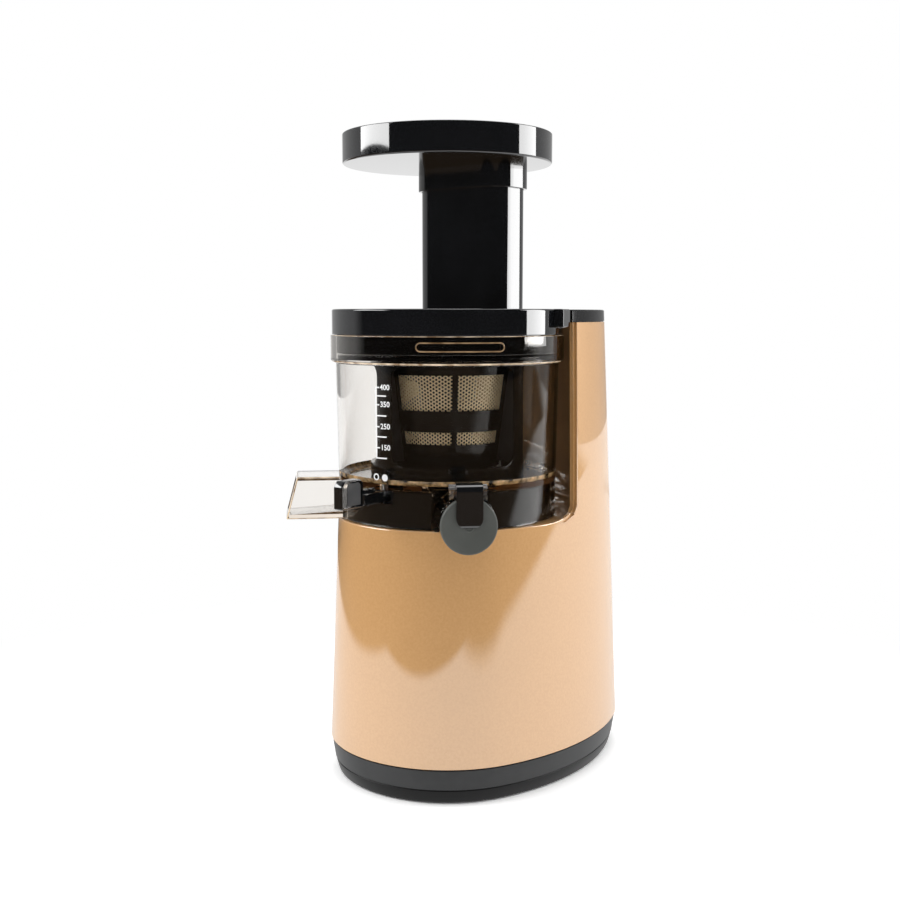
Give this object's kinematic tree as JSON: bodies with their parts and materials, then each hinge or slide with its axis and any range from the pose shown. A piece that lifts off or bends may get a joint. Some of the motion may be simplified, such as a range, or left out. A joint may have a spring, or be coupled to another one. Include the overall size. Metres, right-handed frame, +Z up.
{
  "type": "cold press juicer",
  "caption": "Upright cold press juicer: rounded motor base with a column, clear juicing bowl with pulp chute and juice spout, dark lid, feed tube and round tray.",
  "frame": {"origin": "on the axis of the bowl, at the level of the surface that the juicer stands on", "axes": "+Z up, along the bowl axis; -Y towards the front, where the lever points; +Y towards the column; +X to the right"},
  "size_m": [0.1692, 0.2472, 0.405],
  "materials": {
    "champagne_paint": "gloss",
    "gloss_black": "gloss",
    "matte_black": "satin",
    "dark_grey": "satin",
    "clear_bowl": "clear, gloss",
    "silicone": "matt",
    "foot_rubber": "matt",
    "steel": "satin",
    "gear_plastic": "satin",
    "cast_alloy": "as cast",
    "copper_wire": "enamelled",
    "sintered_bronze": "satin",
    "board_green": "satin",
    "auger_grey": "satin"
  },
  "bodies": {
    "base": {"housing": "champagne_paint", "column_cap": "gloss_black", "base_skirt": "dark_grey", "bottom_plate": "dark_grey", "front_foot": "foot_rubber", "rear_feet": "foot_rubber", "bottom_screws": "steel", "bowl_seat": "matte_black", "seat_screws": "steel", "shaft_seal": "silicone", "switch_housing": "matte_black", "cord_bushing": "silicone", "reed_switch": "gear_plastic", "circuit_board": "board_green", "motor_capacitor": "gear_plastic", "stator_core": "steel", "stator_windings": "copper_wire", "upper_end_frame": "cast_alloy", "lower_end_frame": "cast_alloy", "motor_bearings": "steel", "motor_bolts": "steel", "gearbox_base": "cast_alloy", "gearbox_cover": "cast_alloy", "gearbox_screws": "steel", "intermediate_axle": "steel", "drive_bushes": "sintered_bronze"},
    "rocker": {"switch_rocker": "gloss_black"},
    "rotor": {"rotor_core": "steel", "motor_shaft": "steel", "motor_pinion": "steel", "cooling_fan": "gear_plastic"},
    "intermediate": {"intermediate_gear": "gear_plastic"},
    "drive": {"drive_shaft": "steel", "output_gear": "steel"},
    "bowl": {"bowl": "clear_bowl", "bowl_seal": "silicone", "idler_pin": "steel", "strainer_frame": "matte_black", "upper_mesh": "steel", "lower_mesh": "steel", "juice_cap_pin": "steel", "lever_pin": "steel"},
    "idler": {"brush_idler": "gear_plastic"},
    "brush": {"spinning_brush": "matte_black", "brush_wipers": "silicone"},
    "auger": {"auger": "auger_grey", "auger_insert": "steel"},
    "cap": {"juice_cap": "gloss_black", "juice_cap_pad": "silicone"},
    "lever": {"control_lever": "gloss_black", "pulp_gate": "silicone"},
    "lid": {"lid": "gloss_black", "lid_bush": "steel", "lid_magnet": "steel"},
    "tray": {"tray": "gloss_black"}
  },
  "joints": [
    {"name": "drive_spin", "type": "hinge", "parent": "base", "child": "drive", "pos_m": [0, 0, 0.118], "axis": [0, 0, 1], "continuous": true},
    {"name": "intermediate_spin", "type": "hinge", "parent": "base", "child": "intermediate", "pos_m": [0, 0.0525, 0.11], "axis": [0, 0, 1], "continuous": true},
    {"name": "motor_spin", "type": "hinge", "parent": "base", "child": "rotor", "pos_m": [0, 0.0189, 0.06], "axis": [0, 0, 1], "continuous": true},
    {"name": "auger_spin", "type": "hinge", "parent": "bowl", "child": "auger", "pos_m": [0, 0, 0.23], "axis": [0, 0, 1], "continuous": true},
    {"name": "idler_spin", "type": "hinge", "parent": "bowl", "child": "idler", "pos_m": [0, 0.0275, 0.195], "axis": [0, 0, 1], "continuous": true},
    {"name": "brush_spin", "type": "hinge", "parent": "bowl", "child": "brush", "pos_m": [0, 0, 0.23], "axis": [0, 0, 1], "continuous": true},
    {"name": "bowl_lift", "type": "slide", "parent": "base", "child": "bowl", "axis": [0, 0, 1], "range_m": [0, 0.15]},
    {"name": "lid_lift", "type": "slide", "parent": "bowl", "child": "lid", "axis": [0, 0, 1], "range_m": [0, 0.06]},
    {"name": "tray_lift", "type": "slide", "parent": "lid", "child": "tray", "axis": [0, 0, 1], "range_m": [0, 0.05]},
    {"name": "cap_hinge", "type": "hinge", "parent": "bowl", "child": "cap", "pos_m": [0.06859, -0.06859, 0.197], "axis": [-0.7071, -0.7071, 0], "range_deg": [0, 100]},
    {"name": "lever_swing", "type": "hinge", "parent": "bowl", "child": "lever", "pos_m": [0, -0.057, 0.185], "axis": [0, 0, 1], "range_deg": [0, 20]},
    {"name": "rocker_tilt", "type": "hinge", "parent": "base", "child": "rocker", "pos_m": [-0.07657, 0.0333, 0.10487], "axis": [0, -1, 0], "range_deg": [-12, 12]}
  ],
  "couplings": [
    {"joint": "intermediate_spin", "follows": "drive_spin", "ratio": -6},
    {"joint": "motor_spin", "follows": "drive_spin", "ratio": 36},
    {"joint": "auger_spin", "follows": "drive_spin", "ratio": 1},
    {"joint": "idler_spin", "follows": "drive_spin", "ratio": -0.57143},
    {"joint": "brush_spin", "follows": "drive_spin", "ratio": -0.22222}
  ]
}
